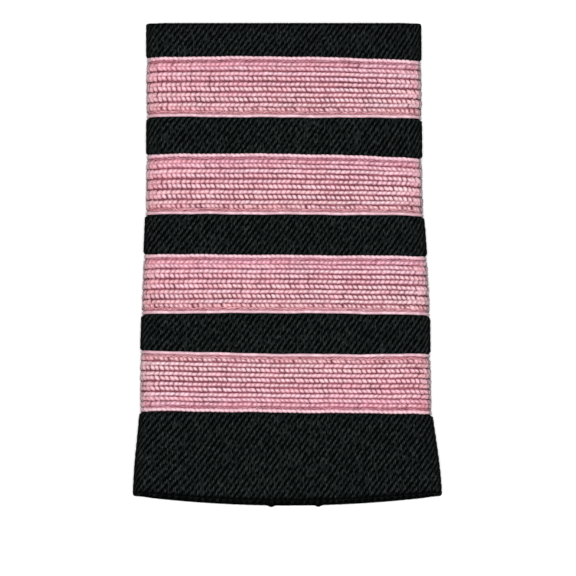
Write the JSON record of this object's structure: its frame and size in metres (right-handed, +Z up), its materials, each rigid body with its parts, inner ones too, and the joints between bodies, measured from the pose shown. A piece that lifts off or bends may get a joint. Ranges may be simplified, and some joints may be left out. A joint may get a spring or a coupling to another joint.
{
  "type": "slip-on shoulder board",
  "caption": "Soft slip-on shoulder board: a flat black twill tube, open at both ends and flared at the shoulder end, with bars of pink braid wrapped round it.",
  "frame": {"origin": "on the surface that the slide lies on, under the middle of its bounding box", "axes": "+X to the right of the front, +Y along the strap towards the collar end, +Z up out of the front"},
  "size_m": [0.0632, 0.1008, 0.0097],
  "materials": {
    "black_twill": "matte black wool-and-polyester twill, fine diagonal ribs",
    "pink_braid": "satin pink woven braid with rows of small slanted stitches and smooth pale edges"
  },
  "bodies": {
    "root": {"sleeve": "black_twill", "braid_1": "pink_braid", "braid_2": "pink_braid", "braid_3": "pink_braid", "braid_4": "pink_braid"}
  },
  "joints": []
}
